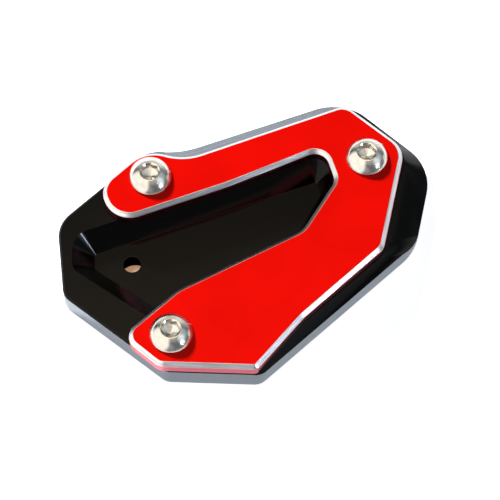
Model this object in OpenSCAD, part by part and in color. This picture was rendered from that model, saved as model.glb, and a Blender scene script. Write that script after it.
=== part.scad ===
// Foot enlarger for a motorcycle side stand: a wide machined base plate with a sloping pocket for
// the stand's own foot, and a U-shaped clamp plate that three button head screws pull down on it.
// The clamp plate reaches over the pocket's rim on both sides and holds the foot in place.

/* [Overall reach] */
// Distance from the origin to the left end of the base plate
heel_reach = 45.8; // [44.5:0.1:49]
// Distance from the origin to the corner at the right end of the base plate
toe_reach = 46.2; // [45:0.1:50]
// Distance from the origin to the straight front edges of both plates
front_reach = 37.2; // [36.5:0.1:41]
// Distance from the origin to the far corner of the base plate
far_reach = 39.0; // [38:0.1:43]

/* [Base plate] */
// Thickness of the base plate
base_t = 6.8; // [6.4:0.1:9]
// Thickness left at the edge of the ramp at the right end
toe_t = 1.3; // [1:0.1:2.5]
// Width of the ramp at the right end
ramp_run = 6.6; // [5.5:0.1:7.4]
// Width of the bevel along the right front flank
flank_run = 2.6; // [1:0.1:3]
// Depth of the bevel along the right front flank
flank_drop = 1.2; // [0.6:0.1:2]
// Width of the bevel behind the right end corner
shoulder_run = 3.0; // [2:0.1:3.4]
// Depth of the bevel behind the right end corner
shoulder_drop = 3.2; // [2:0.1:4]
// Width of the bevel on the right of the far corner
crown_run = 2.0; // [1:0.1:2.6]
// Depth of the bevel on the right of the far corner
crown_drop = 1.1; // [0.6:0.1:2.4]
// Width of the bevel along the far edge
far_run = 3.4; // [2:0.1:3.8]
// Depth of the bevel along the far edge
far_drop = 2.0; // [1:0.1:3]
// Broken edge round the front and the left end
edge_break = 0.5; // [0.2:0.05:0.8]
// Broken edge round the underside
sole_break = 0.3; // [0.1:0.05:0.6]

/* [Pocket] */
// Depth of the pocket for the stand's foot
pocket_d = 5.0; // [3.5:0.1:5.2]
// Width of the pocket's sloping walls
pocket_run = 4.7; // [3.5:0.1:5.2]
// Width of the pocket's sloping wall at the left end
pocket_end_run = 5.2; // [4:0.1:6]
// Diameter of the drain hole in the pocket's floor
drain_d = 4.2; // [3:0.1:6]
// Drain hole from the origin, leftwards
drain_x = 27.2; // [24:0.1:30]
// Drain hole from the origin, forwards
drain_y = 7.0; // [4:0.1:9]

/* [Clamp plate] */
// Thickness of the clamp plate
clamp_t = 3.6; // [3.2:0.1:6]
// Bright chamfer round the top edge of the clamp plate
clamp_chamfer = 1.0; // [0.5:0.05:1.5]
// Broken edge round the lower face of the clamp plate
clamp_break = 0.2; // [0.1:0.05:0.4]

/* [Screws] */
// Thread diameter of the three clamp screws
screw_d = 6.0; // [4:0.5:6]
// Length of the screws under the head
screw_l = 10; // [6:0.5:10]
// Chamfer at the screws' tips
screw_tip = 0.8; // [0.3:0.1:1.2]
// Diameter of the button heads
head_d = 10.5; // [9.5:0.1:11.5]
// Height of the button heads
head_h = 2.8; // [2.5:0.1:3.4]
// Height of the upright band under the dome of each head
head_rim = 0.35; // [0.2:0.05:0.6]
// Diameter of the flat ring round the socket
head_flat = 5.2; // [5.1:0.1:6]
// Width across the flats of the hexagon socket
socket_af = 4.0; // [3:0.1:4.2]
// Depth of the socket
socket_d = 2.1; // [1.5:0.1:2.3]
// Added to the thread diameter for the holes through the clamp plate
screw_clearance = 0.6; // [0.2:0.1:1]
// Added to the thread diameter for the threaded holes in the base plate
thread_play = 0.1; // [0.05:0.05:0.2]
// Arm screw from the origin, leftwards
arm_x = 23.5; // [23:0.1:24.5]
// Arm screw from the origin, away from the front
arm_y = 13.05; // [12.6:0.05:13.4]
// Toe screw from the corner at the right end, leftwards
toe_in = 16.6; // [15.7:0.1:17.7]
// Toe screw from the origin, away from the front
toe_y = 20.4; // [19:0.1:21]
// Front screw from the origin, leftwards
front_x = 16.3; // [14:0.1:17]
// Front screw from the straight front edges, away from the front
front_in = 8.4; // [7.2:0.1:8.8]

/* [Hidden] */
$fn = 72;
// Largest turn between two neighbouring facets of a rounded corner, in degrees
facet_turn = 4;
// Smallest radius that a rounded corner is drawn with
least_r = 0.6;
// Extra length of a cutter past the face that it opens
over = 1;
top_z = base_t + clamp_t;
ramp_drop = base_t - toe_t;

// Base plate outline, anticlockwise from the left front corner. Each corner is x, y, radius,
// then the width of the top bevel before and after it, and its depth before and after it.
base_corners = [
    [-17.3, -front_reach, 4, edge_break, edge_break, edge_break, edge_break],
    [5.3, -front_reach, 4, edge_break, flank_run, edge_break, flank_drop],
    [toe_reach - 4.0, -0.6, 14, flank_run, ramp_run, flank_drop, ramp_drop],
    [toe_reach, 22.1, 10.6, ramp_run, shoulder_run, ramp_drop, shoulder_drop],
    [toe_reach - 23.4, far_reach, 13, crown_run, far_run, crown_drop, far_drop],
    [-16.3, far_reach - 16.0, 22, far_run, far_run, far_drop, far_drop],
    [-24.2, far_reach - 16.0, 9, far_run, edge_break, far_drop, edge_break],
    [-heel_reach, 1.2, 8, edge_break, edge_break, edge_break, edge_break],
    [2.8 - heel_reach, -18.3, 4.5, edge_break, edge_break, edge_break, edge_break]
];

// Clamp plate outline, anticlockwise from the left front corner: round the outside, round the
// lobe of the arm, back along the slot and out to the tip beside the front screw.
clamp_corners = [
    [-18.9, -front_reach, 4],
    [4.4, -front_reach, 1.5],
    [15.3, 14.0 - front_reach, 6],
    [toe_reach - 12.15, -4.4, 4],
    [toe_reach - 7.2, 23.4, 6.5],
    [toe_reach - 22.1, far_reach - 3.7, 4.5],
    [-15.5, far_reach - 20.5, 13],
    [-25.2, far_reach - 18.0, 9],
    [-36.1, 10.0, 6],
    [-31.5, 0.0, 6.6],
    [-4.0, 11.4, 60],
    [toe_reach - 27.3, 22.6, 3.5],
    [toe_reach - 24.3, 13.8, 3.5],
    [14.2, 0.0, 6],
    [-15.3, -17.0, 12],
    [-28.3, -29.8, 3.8]
];

// Rim of the pocket, anticlockwise from the left end's front corner
pocket_corners = [
    [4.4 - heel_reach, -11.0, 3, pocket_end_run, pocket_run],
    [-20.5, -24.4, 3, pocket_run, pocket_run],
    [15.9, -2.6, 8, pocket_run, pocket_run],
    [toe_reach - 22.4, 13.5, 5.3, pocket_run, pocket_run],
    [toe_reach - 26.1, 23.5, 5.3, pocket_run, pocket_run],
    [3.9 - heel_reach, -1.8, 5.5, pocket_run, pocket_end_run]
];

arm_spot = [-arm_x, arm_y];
toe_spot = [toe_reach - toe_in, toe_y];
front_spot = [-front_x, front_in - front_reach];
drain_spot = [-drain_x, -drain_y];

function at(c, i) = let (j = (i + len(c)) % len(c)) [c[j].x, c[j].y];

// Direction along the edge that ends at corner i
function run_up(c, i) = (at(c, i) - at(c, i - 1)) / norm(at(c, i) - at(c, i - 1));

function inward(e) = [-e.y, e.x];

function turn(e, f) = e.x * f.y - e.y * f.x;

// Angle of the corner's arc, positive where the outline bends outwards
function bend(c, i) = let (e = run_up(c, i), f = run_up(c, i + 1)) atan2(turn(e, f), e * f);

function arc_steps(c) = [for (i = [0:len(c) - 1]) max(3, ceil(abs(bend(c, i)) / facet_turn))];

// Every edge moved inwards by s times its own bevel width. Outward corners tighten with it and
// inward corners widen, so the band between the two outlines keeps its width round them.
function moved_in(c, s) = [for (i = [0:len(c) - 1]) let (
    n = inward(run_up(c, i)),
    m = inward(run_up(c, i + 1)),
    a = s * c[i][3],
    b = s * c[i][4],
    k = turn(n, m),
    p = at(c, i) + [a * m.y - b * n.y, b * n.x - a * m.x] / k,
    r = max(min(least_r, c[i][2]), c[i][2] - sign(k) * (a + b) / 2)
) [p.x, p.y, r]];

// Points of an outline with each corner rounded to its radius by the given number of steps
function outline(c, steps) = [for (i = [0:len(c) - 1]) let (
    e = run_up(c, i),
    w = bend(c, i),
    r = c[i][2],
    side = sign(w),
    start = at(c, i) - e * r * tan(abs(w) / 2),
    centre = start + inward(e) * r * side
) for (k = [0:steps[i]]) let (
    t = w * k / steps[i]
) centre + r * side * [sin(t) * e.x + cos(t) * e.y, sin(t) * e.y - cos(t) * e.x]];

// Corners with the same bevel, or broken edge, all the way round
function evenly(c, size) = [for (q = c) [q[0], q[1], q[2], size, size, size, size]];

// Depth of the bevel at each point of the outline, blending from one edge to the next
function bevel_depth(c, steps) = [for (i = [0:len(c) - 1]) for (k = [0:steps[i]])
    c[i][5] + (c[i][6] - c[i][5]) * k / steps[i]];

function flat_ring(points, z) = [for (p = points) [p.x, p.y, z]];

function high_ring(points, z) = [for (i = [0:len(points) - 1]) [points[i].x, points[i].y, z[i]]];

// Triangles between the rings a and b, each of n points
function band(a, b, n) = [for (i = [0:n - 1]) let (j = (i + 1) % n)
    each [[a * n + i, b * n + i, b * n + j], [a * n + i, b * n + j, a * n + j]]];

function area(a, b, c) = turn([b.x - a.x, b.y - a.y], [c.x - a.x, c.y - a.y]);

// Whether the triangle a, b, c can be cut off the outline: it bends outwards at b, and no other
// point of the outline lies in it
function is_ear(p, left, a, b, c) = area(p[a], p[b], p[c]) > 0
    && len([for (i = left) if (i != a && i != b && i != c
        && area(p[a], p[b], p[i]) >= 0 && area(p[b], p[c], p[i]) >= 0
        && area(p[c], p[a], p[i]) >= 0) 1]) == 0;

// Triangles that fill an outline with inward corners too, cut off one by one
function filled(p, left, k = 0, done = []) = let (
    n = len(left),
    a = left[k % n],
    b = left[(k + 1) % n],
    c = left[(k + 2) % n]
) n == 3 ? concat(done, [left])
    : is_ear(p, left, a, b, c)
    ? filled(p, [for (i = left) if (i != b) i], k % n, concat(done, [[a, b, c]]))
    : filled(p, left, k + 1, done);

// Solid through a stack of rings that hold the same number of points, lowest ring first
module loft(rings) {
    n = len(rings[0]);
    m = len(rings);
    all = [for (i = [0:n - 1]) i];
    polyhedron(
        [for (r = rings) each r],
        concat(
            filled(rings[0], all),
            [for (k = [0:m - 2]) each band(k, k + 1, n)],
            [for (t = filled(rings[m - 1], all)) [for (j = [2:-1:0]) (m - 1) * n + t[j]]]
        )
    );
}

// Plate between the heights low and high, with a broken edge below and a bevel above. The
// bevel changes width and depth from edge to edge and blends in a cone round each corner.
module plate(c, low, high, broken) {
    steps = arc_steps(c);
    wall = outline(c, steps);
    loft([
        flat_ring(outline(moved_in(evenly(c, broken), 1), steps), low),
        flat_ring(wall, low + broken),
        high_ring(wall, [for (d = bevel_depth(c, steps)) high - d]),
        flat_ring(outline(moved_in(c, 1), steps), high)
    ]);
}

// Pocket cutter with sloping walls, carried on upwards past the top face at the same slope
module pocket_cut() {
    steps = arc_steps(pocket_corners);
    loft([
        flat_ring(outline(moved_in(pocket_corners, 1), steps), base_t - pocket_d),
        flat_ring(outline(moved_in(pocket_corners, -over / pocket_d), steps), base_t + over)
    ]);
}

module threaded_hole(spot) {
    r = (screw_d + thread_play) / 2;
    translate([spot.x, spot.y, -over]) cylinder(h = base_t + 2 * over, r = r);
    translate([spot.x, spot.y, -over]) cylinder(h = over + edge_break, r1 = r + over + edge_break, r2 = r);
}

module base_plate() {
    color([0.07, 0.07, 0.08])
    difference() {
        plate(base_corners, 0, base_t, sole_break);
        pocket_cut();
        translate([drain_spot.x, drain_spot.y, -over]) cylinder(h = base_t + over, d = drain_d);
        threaded_hole(arm_spot);
        threaded_hole(toe_spot);
        threaded_hole(front_spot);
    }
}

module clearance_hole(spot) {
    translate([spot.x, spot.y, base_t - over]) cylinder(h = clamp_t + 2 * over, d = screw_d + screw_clearance);
}

// U-shaped plate with the same outline above and below and a bright chamfer round its top edge
module clamp_plate() {
    color([0.85, 0.08, 0.04])
    difference() {
        plate(evenly(clamp_corners, clamp_chamfer), base_t, top_z, clamp_break);
        clearance_hole(arm_spot);
        clearance_hole(toe_spot);
        clearance_hole(front_spot);
    }
}

// Button head screw with its head's seat at height 0. The dome is part of one sphere, from the
// rim band up to the flat ring round the socket.
module button_screw() {
    hr = head_d / 2;
    fr = head_flat / 2;
    sr = screw_d / 2;
    zc = (hr * hr + head_rim * head_rim - fr * fr - head_h * head_h) / (2 * (head_rim - head_h));
    dome_r = norm([hr, head_rim - zc]);
    a0 = atan2(head_rim - zc, hr);
    a1 = atan2(head_h - zc, fr);
    dome = [for (k = [0:12]) let (a = a0 + (a1 - a0) * k / 12) [dome_r * cos(a), zc + dome_r * sin(a)]];
    hex_r = socket_af / 2 / cos(30);
    difference() {
        rotate_extrude() polygon(concat(
            [[0, -screw_l], [sr - screw_tip, -screw_l], [sr, screw_tip - screw_l], [sr, 0], [hr, 0]],
            dome,
            [[0, head_h]]
        ));
        translate([0, 0, head_h - socket_d]) cylinder(h = socket_d + over, r = hex_r, $fn = 6);
        translate([0, 0, head_h - 0.35]) cylinder(h = 0.35 + over, r1 = hex_r - 0.15, r2 = hex_r + 0.12 + over);
        translate([0, 0, head_h - socket_d - 0.7]) cylinder(h = 0.71, r1 = 0.3, r2 = socket_af / 2 - 0.05);
    }
}

module placed_screw(spot, turned) {
    color([0.78, 0.78, 0.76])
    translate([spot.x, spot.y, top_z]) rotate([0, 0, turned]) button_screw();
}

module screw_arm() { placed_screw(arm_spot, 12); }

module screw_toe() { placed_screw(toe_spot, 40); }

module screw_front() { placed_screw(front_spot, 25); }

base_plate();
clamp_plate();
screw_arm();
screw_toe();
screw_front();
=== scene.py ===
import math

import bpy
import numpy as np
from bpy.props import FloatProperty, FloatVectorProperty, IntProperty, PointerProperty
from mathutils import Matrix, Vector
from mathutils.geometry import tessellate_polygon


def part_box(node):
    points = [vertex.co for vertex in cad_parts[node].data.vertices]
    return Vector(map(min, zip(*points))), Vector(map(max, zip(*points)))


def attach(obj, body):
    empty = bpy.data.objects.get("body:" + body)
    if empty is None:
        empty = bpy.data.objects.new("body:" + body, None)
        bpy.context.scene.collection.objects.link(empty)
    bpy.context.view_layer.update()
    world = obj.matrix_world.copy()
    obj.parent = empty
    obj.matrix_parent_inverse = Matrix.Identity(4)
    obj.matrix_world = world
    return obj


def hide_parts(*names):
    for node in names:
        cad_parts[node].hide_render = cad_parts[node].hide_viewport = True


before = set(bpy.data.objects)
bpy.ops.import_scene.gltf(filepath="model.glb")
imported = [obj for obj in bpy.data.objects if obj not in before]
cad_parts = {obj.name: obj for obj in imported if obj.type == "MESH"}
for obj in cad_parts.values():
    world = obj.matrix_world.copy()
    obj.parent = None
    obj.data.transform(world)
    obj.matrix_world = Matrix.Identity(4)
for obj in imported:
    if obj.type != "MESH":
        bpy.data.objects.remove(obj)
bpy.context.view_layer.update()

bl_info = {
    "name": "Side stand foot enlarger",
    "version": (1, 0, 0),
    "blender": (4, 5, 0),
    "location": "3D View > Sidebar > Foot enlarger",
    "description": "Builds the anodised base plate, the clamp plate, the button head screws and the stage",
    "category": "Object",
}

# Every size below is in millimetres and every angle in degrees, unless its comment says otherwise
MM = 0.001
BASE_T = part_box("base_plate")[1][2] / MM
TOP_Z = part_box("clamp_plate")[1][2] / MM

# Corners of the base plate, anticlockwise from the left front one: x, y, radius, width of the top
# bevel before and after the corner, and its depth before and after it
BASE_CORNERS = np.array([
    [-17.3, -37.2, 4.0, 0.5, 0.5, 0.5, 0.5],
    [5.3, -37.2, 4.0, 0.5, 2.6, 0.5, 1.2],
    [42.2, -0.6, 14.0, 2.6, 6.6, 1.2, 5.5],
    [46.2, 22.1, 10.6, 6.6, 3.0, 5.5, 3.2],
    [22.8, 39.0, 13.0, 2.0, 3.4, 1.1, 2.0],
    [-16.3, 23.0, 22.0, 3.4, 3.4, 2.0, 2.0],
    [-24.2, 23.0, 9.0, 3.4, 0.5, 2.0, 0.5],
    [-45.8, 1.2, 8.0, 0.5, 0.5, 0.5, 0.5],
    [-43.0, -18.3, 4.5, 0.5, 0.5, 0.5, 0.5],
])
# Painted sheen: from the middle of the one corner to the middle of the other, counted from 0, the
# black bevel takes the side wall's graphite grey, so that it stands in for the bright room it
# mirrors there. It is black elsewhere.
SHEEN_PAINTED_BEVEL = (4, 6)
# Chamfers that break the sole's edge and the feet of the threaded holes
SOLE_BREAK = 0.3
HOLE_BREAK = 0.5

# Rim of the pocket: x, y, radius, width of the sloping wall before and after the corner
POCKET_CORNERS = np.array([
    [-41.4, -11.0, 3.0, 5.2, 4.7],
    [-20.5, -24.4, 3.0, 4.7, 4.7],
    [15.9, -2.6, 8.0, 4.7, 4.7],
    [23.8, 13.5, 5.3, 4.7, 4.7],
    [20.1, 23.5, 5.3, 4.7, 4.7],
    [-41.9, -1.8, 5.5, 4.7, 5.2],
])
# Height of the pocket's floor over the sole
POCKET_FLOOR = 1.8
# Drain hole: x, y, radius
DRAIN = (-27.2, -7.0, 2.1)

# Corners of the clamp plate: x, y, radius. Round the outside, then back along the slot.
CLAMP_CORNERS = np.array([
    [-18.9, -37.2, 4.0],
    [4.4, -37.2, 1.5],
    [15.3, -23.2, 6.0],
    [34.05, -4.4, 4.0],
    [39.0, 23.4, 6.5],
    [24.1, 35.3, 4.5],
    [-15.5, 18.5, 13.0],
    [-25.2, 21.0, 9.0],
    [-36.1, 10.0, 6.0],
    [-31.5, 0.0, 6.6],
    [-4.0, 11.4, 60.0],
    [18.9, 22.6, 3.5],
    [21.9, 13.8, 3.5],
    [14.2, 0.0, 6.0],
    [-15.3, -17.0, 12.0],
    [-28.3, -29.8, 3.8],
])
# The bright chamfer above, the broken edge below and the radius of the bores
CLAMP_CHAMFER = 1.0
CLAMP_BREAK = 0.2
CLAMP_BORE_R = 3.3
# The chamfer's lower and upper edges are rounded this many times as much as the other edges
CHAMFER_FOOT_ROUND = 3.2
CHAMFER_CREST_ROUND = 2.4

# Places of the screws and how far each was left turned: node, x, y, degrees
SCREWS = (
    ("screw_arm", -23.5, 13.05, 12.0),
    ("screw_toe", 29.6, 20.4, 40.0),
    ("screw_front", -16.3, -28.8, 25.0),
)
# Shank: radius, length and the chamfer at its tip
THREAD_R = 3.0
SCREW_L = 10.0
SCREW_TIP = 0.8
# Head: radius and height, the upright rim under the dome and the flat ring on top of it
HEAD_R = 5.25
HEAD_H = 2.8
HEAD_RIM = 0.35
HEAD_FLAT_R = 2.6
DOME_STEPS = 24
# Hexagon socket: half the width across its flats and its depth, how far its corners are cut back,
# how much wider than them its round mouth is, and the cone that the drill left below its floor
SOCKET_APOTHEM = 2.0
SOCKET_D = 2.1
CORNER_CUT = 0.04
MOUTH_PLAY = 0.12
CONE_R = 1.95
CONE_FOOT_R = 0.3
CONE_D = 0.7

# A corner keeps at least this radius, or its own if that is less, where its edges move inwards
LEAST_RADIUS = 0.6
# A fine rounding grows with the turn of its edge up to this many radians, and takes at most this
# share of the way to the next edge
LARGEST_TURN = 2.6
ROUNDING_SHARE = 0.4
SCREW_ROUND_STEPS = 2
# Least length that a vector is divided by
TINY = 1e-12

UP, DOWN = (0.0, 0.0, 1.0), (0.0, 0.0, -1.0)
# Places of the finishes in each piece's list of materials: in any piece and the base plate, and
# then in the clamp plate
FACE, WALL = 0, 1
CUT, SIDE = 1, 2

# The table: how far it lies below the sole, and its side
TABLE_GAP = 0.02
TABLE_SIDE = 6000.0
# The table seen through the drain hole holds painted shade: dark up to the first distance from the
# hole's axis, where the plate's shadow would lie, and white past the second. In the dark is a tan spot
# of painted light, where lamp light would fall through the hole, and it glows. The spot's middle is
# beside the axis, and it is full up to one distance from there and gone past the other.
PAINTED_SHADE_EDGE = (5.0, 7.0)
PAINTED_SHADE_COLOUR = "#0b0a09"
PAINTED_LIGHT_MIDDLE = (DRAIN[0] + 0.9, DRAIN[1] - 3.4)
PAINTED_LIGHT_EDGE = (4.0, 4.2)
PAINTED_LIGHT_SHARE = 0.72
PAINTED_LIGHT_COLOUR = "#e2b48c"
# Strength of the table's own light to the camera and in what mirrors it, where 1 is white
GLOW_SEEN = 1.0
GLOW_MIRRORED = 0.64

# Light from all round, as a linear colour and a strength: what the camera sees past the table, what
# lights the matt surfaces, and what glossy surfaces mirror between the patches of the room
SIGHT = ((1.0, 1.0, 1.0, 1.0), 1.0)
FILL = ((0.95, 0.98, 1.0, 1.0), 0.03)
ROOM = ((0.88, 0.95, 1.0, 1.0), 0.22)
# Patches of the room that glossy surfaces mirror: azimuth, elevation, inner and outer angle,
# strength, colour. A negative strength darkens, and the small strong patch is a lamp that the
# pocket's wall mirrors as a streak.
ROOM_PATCHES = (
    (205.0, 25.0, 40.0, 56.0, 1.35, "#fffbf0"),
    (92.0, 5.0, 28.0, 50.0, 0.62, "#fffaf2"),
    (86.0, 86.0, 4.0, 27.0, 2.6, "#ffe6c0"),
    (-22.0, 36.0, 8.0, 22.0, 0.8, "#e6f4ff"),
    (5.0, 42.0, 8.0, 32.0, 0.5, "#e2f2ff"),
    (-60.0, 75.0, 10.0, 40.0, 0.35, "#fff8ec"),
    (150.0, 4.0, 3.0, 14.0, -0.25, "#f4f6ff"),
    (-30.0, 20.0, 5.0, 15.0, 1.3, "#f4f6ff"),
    (-33.5, 20.4, 0.8, 3.0, 80.0, "#d6e8ff"),
    (60.0, 10.0, 12.0, 30.0, 0.3, "#f4f8ff"),
    (15.0, 1.0, 5.0, 13.0, 0.8, "#fff4ec"),
    (-92.0, 22.0, 6.0, 20.0, 0.22, "#f2f0ff"),
)
# Lamps: name, azimuth, elevation, distance, width and height in metres, and power in watts
LAMPS = (
    ("key_lamp", 128.0, 30.0, 1.6, 0.16, 0.16, 46.0),
    ("front_fill", -88.0, 40.0, 0.34, 0.22, 0.10, 0.08),
)

# Camera: its turn about Z and its angle over the table, its focal length and its sensor's width, its
# distance and the point that it looks at, and how near to it things begin to show
CAMERA_TURN = 2.0
CAMERA_RISE = 64.0
CAMERA_LENS = 163.1
CAMERA_SENSOR = 36.0
CAMERA_AWAY = 560.0
CAMERA_AIM = (1.5, -0.9, -0.5)
CAMERA_NEAR = 10.0


def linear(hex_colour):
    """sRGB hex colour to linear RGBA, by the standard curve: c / 12.92 below the knee, a 2.4 power
    above."""
    c = np.array([int(hex_colour[k:k + 2], 16) for k in (1, 3, 5)]) / 255.0
    c = np.where(c <= 0.04045, c / 12.92, ((c + 0.055) / 1.055) ** 2.4)
    return tuple(float(v) for v in c) + (1.0,)


# Settings

class PlateSizes(bpy.types.PropertyGroup):
    """Sizes that shape the plates and screws"""

    edge_round: FloatProperty(
        name="Edge rounding", description="Radius of the fine rounding on a machined edge",
        default=0.00012, min=0.00002, max=0.0003, unit="LENGTH", precision=5)
    pocket_round: FloatProperty(
        name="Pocket rounding", description="Radius of the rounding at the foot of the pocket's walls",
        default=0.0001, min=0.00005, max=0.0008, unit="LENGTH", precision=5)
    bore_play: FloatProperty(
        name="Bore play", description="Gap round the screws in the threaded holes",
        default=0.00005, min=0.00002, max=0.0002, unit="LENGTH", precision=5)
    corner_steps: IntProperty(
        name="Corner steps", description="Facets in each rounded corner of a plate",
        default=22, min=4, max=64)
    round_steps: IntProperty(
        name="Rounding steps", description="Facets across each fine edge rounding of a plate",
        default=3, min=1, max=8)
    turn_steps: IntProperty(
        name="Turned steps", description="Facets round each screw and bore, a multiple of twelve",
        default=120, min=24, max=240)


class PlateFinishes(bpy.types.PropertyGroup):
    """Colours of the anodised plates, the cut edges, the screws and the table"""

    red: FloatVectorProperty(
        name="Red", description="Dye of the clamp plate's anodising",
        subtype="COLOR", size=4, min=0, max=1, default=linear("#f20a02"))
    # The side's paler pink is painted sheen that stands in for the white table mirrored in the red dye
    red_side_painted_sheen: FloatVectorProperty(
        name="Red side", description="The clamp plate's glossy upright sides, paler than its faces",
        subtype="COLOR", size=4, min=0, max=1, default=linear("#f07685"))
    black: FloatVectorProperty(
        name="Black", description="Dye of the base plate's anodising",
        subtype="COLOR", size=4, min=0, max=1, default=linear("#090908"))
    wall: FloatVectorProperty(
        name="Side wall", description="Satin graphite of the base plate's upright sides",
        subtype="COLOR", size=4, min=0, max=1, default=linear("#929aa3"))
    bright: FloatVectorProperty(
        name="Bright cut", description="Bare aluminium of the cut chamfer",
        subtype="COLOR", size=4, min=0, max=1, default=linear("#e9e9ec"))
    steel: FloatVectorProperty(
        name="Stainless", description="Polished stainless steel of the screws",
        subtype="COLOR", size=4, min=0, max=1, default=linear("#d6d2ca"))
    table: FloatVectorProperty(
        name="Table", description="White of the table top",
        subtype="COLOR", size=4, min=0, max=1, default=linear("#f4f5f8"))


# Outlines

def length(v):
    return np.linalg.norm(v, axis=-1)


def unit(v):
    return v / np.maximum(length(v), TINY)[..., None]


def cross2(a, b):
    return a[:, 0] * b[:, 1] - a[:, 1] * b[:, 0]


def inward(edge):
    """The direction 90 degrees to the left of an edge's, which points into an anticlockwise outline."""
    return np.stack([-edge[:, 1], edge[:, 0]], 1)


def edges(corners):
    """Directions of the edges that end and that start at each corner."""
    before = unit(corners[:, :2] - np.roll(corners[:, :2], 1, 0))
    return before, np.roll(before, -1, 0)


def moved_in(corners, share):
    """Each edge moved inwards by share times its own bevel width, and each corner put where its two
    moved edges cross: it moves by (a f - b e) / (e x f), where e and f are the edges before and after
    it and a and b are their widths. A corner's radius loses the mean of the two widths, or gains it
    where the outline bends inwards."""
    before, after = edges(corners)
    width_before, width_after = share * corners[:, 3:4], share * corners[:, 4:5]
    bend = cross2(before, after)[:, None]
    points = corners[:, :2] + (width_before * after - width_after * before) / bend
    radius = corners[:, 2]
    moved = radius - np.sign(bend[:, 0]) * (width_before + width_after)[:, 0] / 2
    return np.column_stack([points, np.maximum(np.minimum(LEAST_RADIUS, radius), moved), corners[:, 3:]])


def rounded(corners, steps):
    """Points of the outline, the directions along it there, and the length of each corner's arc. A
    corner is an arc of its own radius, tangent to both edges: centre plus the radius times the
    outward direction, which turns evenly from the first edge's to the second's."""
    before, after = edges(corners)
    radius = corners[:, 2:3]
    bend = np.arctan2(cross2(before, after), np.sum(before * after, 1))[:, None]
    side = np.sign(bend)
    centre = corners[:, :2] - before * radius * np.tan(np.abs(bend) / 2) + inward(before) * radius * side
    turn = bend * np.linspace(0, 1, steps + 1)[None, :]
    outward = np.stack([np.sin(turn) * before[:, :1] + np.cos(turn) * before[:, 1:],
                        np.sin(turn) * before[:, 1:] - np.cos(turn) * before[:, :1]], 2)
    points = centre[:, None, :] + (radius * side)[:, None, :] * outward
    along = np.stack([-outward[..., 1], outward[..., 0]], 2)
    return points.reshape(-1, 2), along.reshape(-1, 2), (radius * np.abs(bend))[:, 0]


def level_ring(corners, z, steps):
    """Ring of the rounded outline at one height: its points and the directions along it."""
    points, along, _ = rounded(corners, steps)
    flat = np.zeros(len(points))
    return np.column_stack([points, flat + z]), np.column_stack([along, flat])


def bevel_foot_ring(corners, z, steps):
    """Ring of the rounded outline that lies below height z by the bevel's depth. The depth goes
    evenly from one edge's to the next's along each corner's arc, and so the ring slopes there. At the
    arc's two ends its direction has half that slope."""
    points, along, arc = rounded(corners, steps)
    share = np.linspace(0, 1, steps + 1)[None, :]
    change = corners[:, 6:7] - corners[:, 5:6]
    depth = corners[:, 5:6] + change * share
    slope = -(change / arc[:, None]) * np.ones_like(share)
    slope[:, [0, -1]] *= 0.5
    tangent = unit(np.column_stack([along, slope.reshape(-1)]))
    return np.column_stack([points, z - depth.reshape(-1)]), tangent


def turned_ring(x, y, radius, z, steps, turn=0.0):
    """Ring about an upright axis at x, y: radius and height may each change with the angle. The
    direction along it is the difference of the two neighbouring points."""
    angle = np.radians(turn) + np.arange(steps) * 2 * np.pi / steps
    points = np.column_stack([x + radius * np.cos(angle), y + radius * np.sin(angle), z + np.zeros(steps)])
    return points, unit(np.roll(points, -1, 0) - np.roll(points, 1, 0))


# Surfaces

def rounded_edge(ring, into, out, room, radius, steps):
    """Rows of points and normals that round a ring's edge between two slopes, which run down to it
    along into and on from it along out. The curve leaves each slope at radius times the tangent of
    half the turn from the edge, or at a share of the room beside it if that is less: its points are
    (1-s)^2 A + 2s(1-s) B + s^2 C with B on the edge. The normal turns evenly from one slope's to the
    next's."""
    points, along = ring
    s = np.linspace(0, 1, steps + 1)[:, None, None]
    turn = np.arccos(np.clip(np.sum(into * out, 1), -1, 1))
    cut = np.minimum(radius * np.tan(np.minimum(turn, LARGEST_TURN) / 2), ROUNDING_SHARE * room)[:, None]
    first, last = points - into * cut, points + out * cut
    rows = (1 - s) ** 2 * first + 2 * s * (1 - s) * points + s ** 2 * last
    return rows, unit((1 - s) * unit(np.cross(along, into)) + s * unit(np.cross(along, out)))


def flow_map(rows, ring):
    """Flow map of the faces between closed rows of points, in millimetres: u is the way round the
    first ring and v the way across the rows. A face has its four corners in turn."""
    around = np.concatenate([[0.0], np.cumsum(length(np.roll(ring, -1, 0) - ring))])
    across = np.concatenate([np.zeros((1, len(ring))), np.cumsum(length(rows[1:] - rows[:-1]), 0)])
    across = np.concatenate([across, across[:, :1]], 1)
    grid = np.stack([np.broadcast_to(around, across.shape), across], -1)
    return np.concatenate([grid[:-1, :-1], grid[:-1, 1:], grid[1:, 1:], grid[1:, :-1]], -1).reshape(-1, 2)


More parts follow.
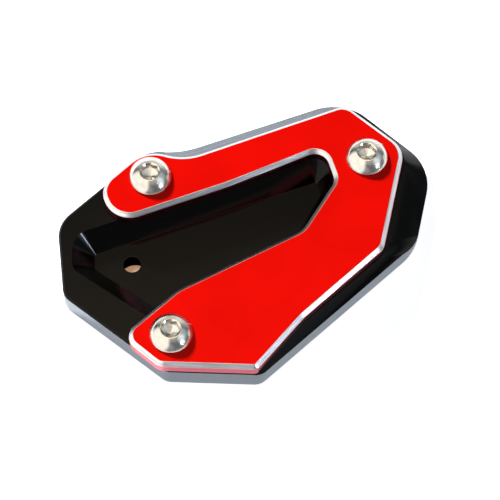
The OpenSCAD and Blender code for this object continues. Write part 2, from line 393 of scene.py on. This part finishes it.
class Skin:
    """Collects the bands and flat faces of one closed body, then makes its mesh."""

    def __init__(self):
        self.points, self.normals, self.count = [], [], 0
        self.faces, self.uvs, self.slots = [], [], []

    def add_points(self, points, normals):
        start = self.count
        self.points.append(points)
        self.normals.append(normals)
        self.count += len(points)
        return start

    def band(self, rings, before, after, radii, steps, slots):
        """Surface through a list of rings that starts and ends on flat faces whose normals are
        before and after. Each ring is an edge with a fine rounding of its own radius. The slots are
        those of the face before, of each strip between two rings, and of the face after. Returns the
        first and the last row's point numbers."""
        gaps = [ring[0] - last[0] for last, ring in zip(rings, rings[1:])]
        slopes = [np.cross(before, rings[0][1])] + gaps + [np.cross(after, rings[-1][1])]
        room = [np.inf] + [length(gap) for gap in gaps] + [np.inf]
        half = (steps + 1) // 2
        rows, normals, row_slots = [], [], []
        for k, ring in enumerate(rings):
            curve, across = rounded_edge(ring, unit(slopes[k]), unit(slopes[k + 1]),
                                         np.minimum(room[k], room[k + 1]), radii[k], steps)
            rows.append(curve)
            normals.append(across)
            row_slots += [slots[k]] * half + [slots[k + 1]] * (steps + 1 - half)
        rows, normals = np.concatenate(rows), np.concatenate(normals)
        m = rows.shape[1]
        start = self.add_points(rows.reshape(-1, 3), normals.reshape(-1, 3))
        here = start + np.arange(len(rows) - 1)[:, None] * m + np.arange(m)
        there = np.roll(here, -1, 1)
        self.faces += np.stack([here, there, there + m, here + m], -1).reshape(-1, 4).tolist()
        self.uvs.append(flow_map(rows, rings[0][0]))
        self.slots += [np.broadcast_to(slot, m) for slot in row_slots[:-1]]
        return here[0], here[-1] + m

    def flat(self, outer, holes, up, slot):
        """Flat face between an outer ring and the rings of its holes, filled with triangles that
        are turned to face up or down."""
        rings = [outer] + holes
        points = np.concatenate(self.points)[:, :2]
        loops = [[Vector((x, y, 0.0)) for x, y in points[ring].tolist()] for ring in rings]
        triangles = np.array(tessellate_polygon(loops))
        numbers = np.concatenate(rings)
        a, b, c = (points[numbers[triangles[:, k]]] for k in range(3))
        wrong = (cross2(b - a, c - a) < 0) == up
        triangles[wrong] = triangles[wrong][:, ::-1]
        self.faces += numbers[triangles].tolist()
        self.uvs.append(points[numbers[triangles]].reshape(-1, 2))
        self.slots.append(np.full(len(triangles), slot))

    def close(self, ring, tip, normal, slot):
        """Closes a small ring with a fan of triangles to a point on its axis."""
        following = np.roll(ring, -1)
        middle = np.full(len(ring), self.add_points(np.array([tip]), np.array([normal])))
        turned = [ring, following, middle] if normal == UP else [following, ring, middle]
        triangles = np.column_stack(turned)
        self.faces += triangles.tolist()
        self.uvs.append(np.concatenate(self.points)[triangles][..., :2].reshape(-1, 2))
        self.slots.append(np.full(len(triangles), slot))

    def make(self, name, materials):
        """The mesh object, with its flow map in millimetres and its exact normals."""
        mesh = bpy.data.meshes.new(name)
        mesh.from_pydata((np.concatenate(self.points) * MM).tolist(), [], self.faces)
        uv = mesh.uv_layers.new(name="flow")
        uv.data.foreach_set("uv", np.concatenate(self.uvs).astype(np.float32).ravel())
        for material in materials:
            mesh.materials.append(material)
        mesh.polygons.foreach_set("material_index", np.concatenate(self.slots).astype(np.int32))
        mesh.polygons.foreach_set("use_smooth", np.ones(len(mesh.polygons), bool))
        mesh.update()
        if mesh.validate():
            raise RuntimeError(name + " has faces that the mesh can't hold")
        mesh.normals_split_custom_set_from_vertices(np.concatenate(self.normals).tolist())
        return put_in_scene(name, mesh)


def put_in_scene(name, data):
    """A new object in the scene that holds the mesh, lamp or camera."""
    piece = bpy.data.objects.new(name, data)
    bpy.context.scene.collection.objects.link(piece)
    return piece


# Materials

def add_node(tree, kind, sockets=None, **settings):
    """Adds a node, sets its options, and sets or links its inputs."""
    node = tree.nodes.new(kind)
    for key, value in settings.items():
        setattr(node, key, value)
    for socket, value in (sockets or {}).items():
        if isinstance(value, bpy.types.NodeSocket):
            tree.links.new(value, node.inputs[socket])
        else:
            node.inputs[socket].default_value = value
    return node


def empty_tree(holder, output):
    """The node tree of a material or a world with nothing in it but an output, and that node."""
    holder.use_nodes = True
    holder.node_tree.nodes.clear()
    return holder.node_tree, add_node(holder.node_tree, output)


def new_finish(name):
    """A material with one Principled surface, its node tree and that node."""
    material = bpy.data.materials.new(name)
    tree, out = empty_tree(material, "ShaderNodeOutputMaterial")
    surface = add_node(tree, "ShaderNodeBsdfPrincipled")
    tree.links.new(surface.outputs["BSDF"], out.inputs["Surface"])
    return material, tree, surface


def cutter_marks(tree, long_mm, fine_mm, angle=0.0, detail=3.0):
    """Noise drawn out along the flow map: long_mm along the cut, fine_mm across it, turned by angle."""
    place = add_node(tree, "ShaderNodeTexCoord")
    turn = add_node(tree, "ShaderNodeMapping", {
        "Vector": place.outputs["UV"], "Rotation": (0.0, 0.0, math.radians(angle))})
    stretch = add_node(tree, "ShaderNodeMapping", {
        "Vector": turn.outputs["Vector"], "Scale": (1.0 / long_mm, 1.0 / fine_mm, 1.0)})
    return add_node(tree, "ShaderNodeTexNoise", {
        "Vector": stretch.outputs["Vector"], "Scale": 1.0, "Detail": detail, "Roughness": 0.6}).outputs["Fac"]


def grain(tree, size_mm):
    """Even noise with lumps of size_mm, in the object's own space."""
    place = add_node(tree, "ShaderNodeTexCoord")
    return add_node(tree, "ShaderNodeTexNoise", {
        "Vector": place.outputs["Object"], "Scale": 1.0 / MM / size_mm, "Detail": 2.0,
        "Roughness": 0.5}).outputs["Fac"]


def between(tree, fac, low, high, from_low=0.3, from_high=0.7):
    """A number that goes from low to high as fac goes from from_low to from_high, which unless given
    are the ends of the range that noise mostly keeps to."""
    return add_node(tree, "ShaderNodeMapRange", {
        "Value": fac, "From Min": from_low, "From Max": from_high,
        "To Min": low, "To Max": high}).outputs["Result"]


def mixed(tree, fac, low, high):
    """The colour low where fac is 0 and high where it is 1. The Mix node's inputs are given by
    number, because those for colours share their names with others."""
    return add_node(tree, "ShaderNodeMix", {0: fac, 6: low, 7: high}, data_type="RGBA").outputs[2]


def shade(tree, fac, colour, dark, light):
    """The colour from dark times it to light times it, where the noise fac goes from low to high."""
    ends = [tuple(min(1.0, c * share) for c in colour[:3]) + (1.0,) for share in (dark, light)]
    return mixed(tree, between(tree, fac, 0.0, 1.0), *ends)


def dress(surface, tone, marks, roughness, depth_mm, metallic=1.0):
    """Gives a Principled surface its colour, a roughness that goes from the first value to the
    second as the marks go from low to high, and a bump of the marks that is depth_mm deep."""
    tree = surface.id_data
    bump = add_node(tree, "ShaderNodeBump", {"Height": marks, "Distance": depth_mm * MM, "Strength": 1.0})
    tree.links.new(tone, surface.inputs["Base Color"])
    tree.links.new(between(tree, marks, *roughness), surface.inputs["Roughness"])
    tree.links.new(bump.outputs["Normal"], surface.inputs["Normal"])
    surface.inputs["Metallic"].default_value = metallic


def black_face(colour):
    """Hard anodised aluminium, dyed black: a thin glassy oxide over milled metal, with faint cutter
    lines and slow clouds of a lighter and a darker black."""
    material, tree, surface = new_finish("black_anodised_face")
    lines = cutter_marks(tree, long_mm=30.0, fine_mm=0.35, angle=10.0)
    tone = shade(tree, grain(tree, size_mm=9.0), colour, 0.75, 1.25)
    dress(surface, tone, lines, roughness=(0.10, 0.15), depth_mm=0.0002, metallic=0.0)
    surface.inputs["IOR"].default_value = 1.24
    return material


def black_wall(colour):
    """The base plate's upright sides: a satin cut edge under black anodising, which looks like a
    graphite grey metal, with fine lines along the cut."""
    material, tree, surface = new_finish("graphite_side_wall")
    lines = cutter_marks(tree, long_mm=25.0, fine_mm=0.25)
    dress(surface, shade(tree, lines, colour, 0.85, 1.1), lines, roughness=(0.24, 0.36), depth_mm=0.002)
    return material


def red_face(colour):
    """Satin anodised aluminium, dyed red: even, fine grained, mostly matt with a soft sheen. The
    real grain is too fine to show, so it is drawn a quarter of a millimetre wide."""
    material, tree, surface = new_finish("red_anodised")
    fine = grain(tree, size_mm=0.25)
    tone = shade(tree, grain(tree, size_mm=14.0), colour, 0.94, 1.05)
    dress(surface, tone, fine, roughness=(0.30, 0.38), depth_mm=0.002, metallic=0.12)
    surface.inputs["IOR"].default_value = 1.15
    return material


def red_wall(colour):
    """The clamp plate's upright sides: a dyed cut edge, glossier than the faces, that mirrors what
    is round it. Its pale pink colour is painted sheen, which stands in for the white table mirrored
    in the red dye."""
    material, tree, surface = new_finish("red_anodised_side_painted_sheen")
    lines = cutter_marks(tree, long_mm=25.0, fine_mm=0.25)
    dress(surface, shade(tree, lines, colour, 0.94, 1.0), lines, roughness=(0.22, 0.32), depth_mm=0.002)
    return material


def bright_cut(colour):
    """Bare aluminium where the chamfer was cut through the dye: bright, with fine lines along the
    cut."""
    material, tree, surface = new_finish("bright_cut_aluminium")
    lines = cutter_marks(tree, long_mm=6.0, fine_mm=0.09, detail=4.0)
    tone = shade(tree, cutter_marks(tree, long_mm=9.0, fine_mm=0.6), colour, 0.6, 1.08)
    dress(surface, tone, lines, roughness=(0.27, 0.34), depth_mm=0.0015)
    return material


def polished_steel(colour):
    """Polished stainless steel, with faint turning rings round the head."""
    material, tree, surface = new_finish("polished_stainless_steel")
    rings = cutter_marks(tree, long_mm=8.0, fine_mm=0.12)
    tone = shade(tree, grain(tree, size_mm=1.5), colour, 0.9, 1.05)
    dress(surface, tone, rings, roughness=(0.13, 0.21), depth_mm=0.0015)
    return material


def white_to_the_eye(tree, lit, colour, mask):
    """Adds a steady light of the surface's colour that only the camera and reflections see, times
    the mask."""
    path = add_node(tree, "ShaderNodeLightPath")
    mirrored = add_node(tree, "ShaderNodeMath", {
        0: path.outputs["Is Glossy Ray"], 1: path.outputs["Is Transmission Ray"]},
        operation="ADD", use_clamp=True)
    eye = add_node(tree, "ShaderNodeMath", {
        0: path.outputs["Is Camera Ray"], 1: GLOW_SEEN}, operation="MULTIPLY")
    both = add_node(tree, "ShaderNodeMath", {
        0: mirrored.outputs[0], 1: GLOW_MIRRORED, 2: eye.outputs[0]}, operation="MULTIPLY_ADD")
    level = add_node(tree, "ShaderNodeMath", {0: both.outputs[0], 1: mask}, operation="MULTIPLY")
    shine = add_node(tree, "ShaderNodeEmission", {"Color": colour, "Strength": level.outputs[0]})
    return add_node(tree, "ShaderNodeAddShader", {0: lit, 1: shine.outputs[0]}).outputs[0]


def distance_from(tree, x, y):
    """How far a point of the surface is from x, y at height zero, in metres."""
    place = add_node(tree, "ShaderNodeTexCoord")
    return add_node(tree, "ShaderNodeVectorMath", {
        0: place.outputs["Object"], 1: (x * MM, y * MM, 0.0)}, operation="DISTANCE").outputs["Value"]


def table_top(colour):
    """White laminate table: a matt white that keeps the object's soft shadow. Under the drain hole
    it holds painted shade, dark, with a glowing tan spot of painted light."""
    material = bpy.data.materials.new("white_table")
    tree, out = empty_tree(material, "ShaderNodeOutputMaterial")
    # Painted shade of the plate round the drain hole, and in it a tan spot of painted light that also glows
    open_table = between(
        tree, distance_from(tree, DRAIN[0], DRAIN[1]), 0.0, 1.0, PAINTED_SHADE_EDGE[0] * MM, PAINTED_SHADE_EDGE[1] * MM)
    painted_light_spot = between(
        tree, distance_from(tree, *PAINTED_LIGHT_MIDDLE), PAINTED_LIGHT_SHARE, 0.0, PAINTED_LIGHT_EDGE[0] * MM, PAINTED_LIGHT_EDGE[1] * MM)
    white = shade(tree, grain(tree, size_mm=60.0), colour, 0.985, 1.01)
    # The painted shade's colour, with the painted light spot on it
    under = mixed(tree, painted_light_spot, linear(PAINTED_SHADE_COLOUR), linear(PAINTED_LIGHT_COLOUR))
    tone = mixed(tree, open_table, under, white)
    shine = add_node(tree, "ShaderNodeMath", {0: open_table, 1: painted_light_spot}, operation="MAXIMUM").outputs[0]
    matt = add_node(tree, "ShaderNodeBsdfDiffuse", {"Color": tone}).outputs[0]
    tree.links.new(white_to_the_eye(tree, matt, tone, shine), out.inputs["Surface"])
    return material


# Pieces

def evenly(corners, size):
    """Corners with the same bevel width and depth on every side."""
    return np.column_stack([corners[:, :3], np.full((len(corners), 4), size)])


def bore(skin, x, y, stops, sizes):
    """A bore about an upright axis, through stops of radius and height, from a face that looks up to
    one that looks down. Returns its top and foot."""
    rings = [turned_ring(x, y, r, z, sizes.turn_steps) for r, z in stops]
    radii = [sizes.edge_round / MM] * len(rings)
    return skin.band(rings, UP, DOWN, radii, sizes.round_steps, [FACE] * (len(rings) + 1))


def screw_bores(skin, stops, sizes):
    """The same bore for each of the screws. Returns the list of their tops and that of their feet."""
    ends = [bore(skin, x, y, stops, sizes) for _, x, y, _ in SCREWS]
    return [top for top, _ in ends], [foot for _, foot in ends]


def base_body(sizes):
    """The base plate. Sole, side wall, bevel and top land follow one outline; the pocket, the drain
    hole and the three threaded holes open the flat faces."""
    skin = Skin()
    n, edge = sizes.corner_steps, sizes.edge_round / MM
    outline = [
        level_ring(moved_in(evenly(BASE_CORNERS, SOLE_BREAK), 1.0), 0.0, n),
        level_ring(BASE_CORNERS, SOLE_BREAK, n),
        bevel_foot_ring(BASE_CORNERS, BASE_T, n),
        level_ring(moved_in(BASE_CORNERS, 1.0), BASE_T, n),
    ]
    point = np.arange(len(BASE_CORNERS) * (n + 1))
    # The far stretch of the bevel gets the grey wall finish as painted sheen
    first, last = (corner * (n + 1) + n // 2 for corner in SHEEN_PAINTED_BEVEL)
    bevel = np.where((point >= first) & (point < last), WALL, FACE)
    sole, crest = skin.band(outline, DOWN, UP, [edge] * 4, sizes.round_steps, [FACE, WALL, WALL, bevel, FACE])
    pocket = [level_ring(POCKET_CORNERS, BASE_T, n),
              level_ring(moved_in(POCKET_CORNERS, 1.0), POCKET_FLOOR, n)]
    rim, floor = skin.band(pocket, UP, UP, [edge, sizes.pocket_round / MM], sizes.round_steps, [FACE] * 3)
    x, y, r = DRAIN
    drain_top, drain_foot = bore(skin, x, y, [(r, POCKET_FLOOR), (r, 0.0)], sizes)
    r = THREAD_R + sizes.bore_play / MM
    tops, feet = screw_bores(skin, [(r, BASE_T), (r, HOLE_BREAK), (r + HOLE_BREAK, 0.0)], sizes)
    skin.flat(crest, [rim] + tops, True, FACE)
    skin.flat(floor, [drain_top], True, FACE)
    skin.flat(sole, [drain_foot] + feet, False, FACE)
    return skin


def clamp_body(sizes):
    """The clamp plate: one outline, a bright chamfer above, a broken edge below, three bores."""
    skin = Skin()
    n, edge = sizes.corner_steps, sizes.edge_round / MM
    corners = evenly(CLAMP_CORNERS, CLAMP_CHAMFER)
    outline = [
        level_ring(moved_in(evenly(CLAMP_CORNERS, CLAMP_BREAK), 1.0), BASE_T, n),
        level_ring(corners, BASE_T + CLAMP_BREAK, n),
        level_ring(corners, TOP_Z - CLAMP_CHAMFER, n),
        level_ring(moved_in(corners, 1.0), TOP_Z, n),
    ]
    radii = [edge, edge, edge * CHAMFER_FOOT_ROUND, edge * CHAMFER_CREST_ROUND]
    under, crest = skin.band(outline, DOWN, UP, radii, sizes.round_steps, [FACE, SIDE, SIDE, CUT, FACE])
    tops, feet = screw_bores(skin, [(CLAMP_BORE_R, TOP_Z), (CLAMP_BORE_R, BASE_T)], sizes)
    skin.flat(crest, tops, True, FACE)
    skin.flat(under, feet, False, FACE)
    return skin


def screw_body(sizes, x, y, turn):
    """A button head screw, turned about its axis: a sphere's cap between the rim band and the flat
    ring, and a hexagon socket whose radius at an angle is the apothem over the cosine of the angle
    from the middle of its side. The sphere's middle, on the axis, is as far from the rim's top as
    from the flat ring's edge."""
    skin = Skin()
    n, edge = sizes.turn_steps, sizes.edge_round / MM
    middle = (HEAD_R ** 2 + HEAD_RIM ** 2 - HEAD_FLAT_R ** 2 - HEAD_H ** 2) / (2 * (HEAD_RIM - HEAD_H))
    ball = math.hypot(HEAD_R, HEAD_RIM - middle)
    rise = np.linspace(math.atan2(HEAD_RIM - middle, HEAD_R),
                       math.atan2(HEAD_H - middle, HEAD_FLAT_R), DOME_STEPS + 1)
    dome = list(zip(ball * np.cos(rise), middle + ball * np.sin(rise)))
    from_side = np.mod(np.arange(n) * 2 * np.pi / n + np.pi / 6, np.pi / 3) - np.pi / 6
    corner = SOCKET_APOTHEM / math.cos(math.pi / 6)
    hexagon = np.minimum(SOCKET_APOTHEM / np.cos(from_side), corner - CORNER_CUT)
    mouth = corner + MOUTH_PLAY
    floor = HEAD_H - SOCKET_D
    shank = [(THREAD_R - SCREW_TIP, -SCREW_L), (THREAD_R, SCREW_TIP - SCREW_L), (THREAD_R, 0.0),
             (HEAD_R, 0.0)]
    socket = [(mouth, HEAD_H), (hexagon, HEAD_H - (mouth - hexagon)), (hexagon, floor),
              (CONE_R, floor), (CONE_FOOT_R, floor - CONE_D)]
    stops = shank + dome + socket
    radii = [edge] * 5 + [0.0] * (len(dome) - 2) + [edge * 2, edge] + [edge / 2] * 3 + [edge]
    rings = [turned_ring(x, y, r, TOP_Z + z, n, turn) for r, z in stops]
    tip, cone = skin.band(rings, DOWN, UP, radii, SCREW_ROUND_STEPS, [FACE] * (len(stops) + 1))
    skin.close(tip, (x, y, TOP_Z - SCREW_L), DOWN, FACE)
    skin.close(cone, (x, y, TOP_Z + floor - CONE_D), UP, FACE)
    return skin


class FOOTPLATE_OT_base(bpy.types.Operator):
    """Build the black base plate with its pocket, bevels and holes"""

    bl_idname = "footplate.base"
    bl_label = "Base plate"

    def execute(self, context):
        finish = context.scene.footplate_finishes
        skin = base_body(context.scene.footplate_sizes)
        piece = skin.make("base_plate_body", [black_face(finish.black), black_wall(finish.wall)])
        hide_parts("base_plate")
        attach(piece, "root")
        return {"FINISHED"}


class FOOTPLATE_OT_clamp(bpy.types.Operator):
    """Build the red clamp plate with its bright chamfer"""

    bl_idname = "footplate.clamp"
    bl_label = "Clamp plate"

    def execute(self, context):
        finish = context.scene.footplate_finishes
        skin = clamp_body(context.scene.footplate_sizes)
        piece = skin.make("clamp_plate_body", [
            red_face(finish.red), bright_cut(finish.bright), red_wall(finish.red_side_painted_sheen)])
        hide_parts("clamp_plate")
        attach(piece, "root")
        return {"FINISHED"}


class FOOTPLATE_OT_screws(bpy.types.Operator):
    """Build the three button head screws"""

    bl_idname = "footplate.screws"
    bl_label = "Button head screws"

    def execute(self, context):
        steel = polished_steel(context.scene.footplate_finishes.steel)
        for node, x, y, turn in SCREWS:
            piece = screw_body(context.scene.footplate_sizes, x, y, turn).make(node + "_body", [steel])
            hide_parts(node)
            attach(piece, "root")
        return {"FINISHED"}


# Stage

def direction(azimuth, elevation):
    """The direction from the object to azimuth, anticlockwise from +X, and elevation."""
    a, e = math.radians(azimuth), math.radians(elevation)
    return Vector((math.cos(a) * math.cos(e), math.sin(a) * math.cos(e), math.sin(e)))


def lay_table(material):
    """The square table top, level and centred under the object."""
    half, z = TABLE_SIDE * MM / 2, -TABLE_GAP * MM
    mesh = bpy.data.meshes.new("table")
    corners = [(-half, -half, z), (half, -half, z), (half, half, z), (-half, half, z)]
    mesh.from_pydata(corners, [], [(0, 1, 2, 3)])
    mesh.materials.append(material)
    put_in_scene("table", mesh)


def softbox(name, azimuth, elevation, distance, width, height, power):
    """An area lamp that looks at the object, and that glossy surfaces don't mirror."""
    lamp = bpy.data.lights.new(name, "AREA")
    lamp.shape, lamp.size, lamp.size_y = "RECTANGLE", width, height
    lamp.energy = power
    holder = put_in_scene(name, lamp)
    holder.location = direction(azimuth, elevation) * distance
    holder.rotation_euler = (-direction(azimuth, elevation)).to_track_quat("-Z", "Y").to_euler()
    holder.visible_glossy = False


def camera_at_photo():
    """The camera, with its place and lens fitted to the photograph."""
    turn, rise = math.radians(CAMERA_TURN), math.radians(CAMERA_RISE)
    right = Vector((math.cos(turn), math.sin(turn), 0.0))
    ahead = Vector((-math.sin(turn) * math.cos(rise), math.cos(turn) * math.cos(rise), -math.sin(rise)))
    up = right.cross(ahead)
    place = Vector(CAMERA_AIM) * MM - ahead * CAMERA_AWAY * MM
    lens = bpy.data.cameras.new("camera")
    lens.sensor_width, lens.lens, lens.clip_start = CAMERA_SENSOR, CAMERA_LENS, CAMERA_NEAR * MM
    holder = put_in_scene("camera", lens)
    holder.matrix_world = Matrix((
        (right.x, up.x, -ahead.x, place.x), (right.y, up.y, -ahead.y, place.y),
        (right.z, up.z, -ahead.z, place.z), (0, 0, 0, 1)))
    bpy.context.scene.camera = holder


def mirrored_room(tree):
    """The room that the metal mirrors: a dim blue grey, with soft bright patches and a dark one. Each
    patch fades smoothly from its inner to its outer angle from its middle."""
    place = add_node(tree, "ShaderNodeTexCoord")
    total = add_node(tree, "ShaderNodeBackground", {"Color": ROOM[0], "Strength": ROOM[1]}).outputs[0]
    for azimuth, elevation, inner, outer, strength, colour in ROOM_PATCHES:
        along = add_node(tree, "ShaderNodeVectorMath", {
            0: place.outputs["Generated"], 1: direction(azimuth, elevation)}, operation="DOT_PRODUCT")
        level = add_node(tree, "ShaderNodeMapRange", {
            "Value": along.outputs["Value"], "From Min": math.cos(math.radians(outer)),
            "From Max": math.cos(math.radians(inner)), "To Min": 0.0, "To Max": strength},
            interpolation_type="SMOOTHSTEP")
        patch = add_node(tree, "ShaderNodeBackground", {
            "Color": linear(colour), "Strength": level.outputs[0]})
        total = add_node(tree, "ShaderNodeAddShader", {0: total, 1: patch.outputs[0]}).outputs[0]
    return total


def room_world():
    """The world: white to the camera, the room to glossy surfaces and a weak fill to the rest."""
    world = bpy.data.worlds.new("room")
    tree, out = empty_tree(world, "ShaderNodeOutputWorld")
    fill = add_node(tree, "ShaderNodeBackground", {"Color": FILL[0], "Strength": FILL[1]})
    sight = add_node(tree, "ShaderNodeBackground", {"Color": SIGHT[0], "Strength": SIGHT[1]})
    path = add_node(tree, "ShaderNodeLightPath")
    room = add_node(tree, "ShaderNodeMixShader", {
        0: path.outputs["Is Glossy Ray"], 1: fill.outputs[0], 2: mirrored_room(tree)})
    mix = add_node(tree, "ShaderNodeMixShader", {
        0: path.outputs["Is Camera Ray"], 1: room.outputs[0], 2: sight.outputs[0]})
    tree.links.new(mix.outputs[0], out.inputs["Surface"])
    return world


class FOOTPLATE_OT_stage(bpy.types.Operator):
    """Build the white table, the mirrored room, the soft lamps and the camera"""

    bl_idname = "footplate.stage"
    bl_label = "Table, lamps and camera"

    def execute(self, context):
        lay_table(table_top(context.scene.footplate_finishes.table))
        context.scene.world = room_world()
        for lamp in LAMPS:
            softbox(*lamp)
        camera_at_photo()
        context.scene.view_settings.view_transform = "Standard"
        return {"FINISHED"}


class FOOTPLATE_PT_sidebar(bpy.types.Panel):
    """Sizes, finishes and the steps that build the foot enlarger"""

    bl_idname = "FOOTPLATE_PT_sidebar"
    bl_label = "Foot enlarger"
    bl_space_type = "VIEW_3D"
    bl_region_type = "UI"
    bl_category = "Foot enlarger"

    def draw(self, context):
        layout = self.layout
        for group in (context.scene.footplate_sizes, context.scene.footplate_finishes):
            box = layout.box()
            for name in group.__annotations__:
                box.prop(group, name)
        for operator in OPERATORS:
            layout.operator(operator.bl_idname)


OPERATORS = (FOOTPLATE_OT_base, FOOTPLATE_OT_clamp, FOOTPLATE_OT_screws, FOOTPLATE_OT_stage)
CLASSES = (PlateSizes, PlateFinishes) + OPERATORS + (FOOTPLATE_PT_sidebar,)


def register():
    for c in CLASSES:
        bpy.utils.register_class(c)
    bpy.types.Scene.footplate_sizes = PointerProperty(type=PlateSizes)
    bpy.types.Scene.footplate_finishes = PointerProperty(type=PlateFinishes)


def unregister():
    del bpy.types.Scene.footplate_finishes
    del bpy.types.Scene.footplate_sizes
    for c in reversed(CLASSES):
        bpy.utils.unregister_class(c)


def main():
    register()
    bpy.ops.footplate.base()
    bpy.ops.footplate.clamp()
    bpy.ops.footplate.screws()
    bpy.ops.footplate.stage()


if __name__ == "__main__":
    main()
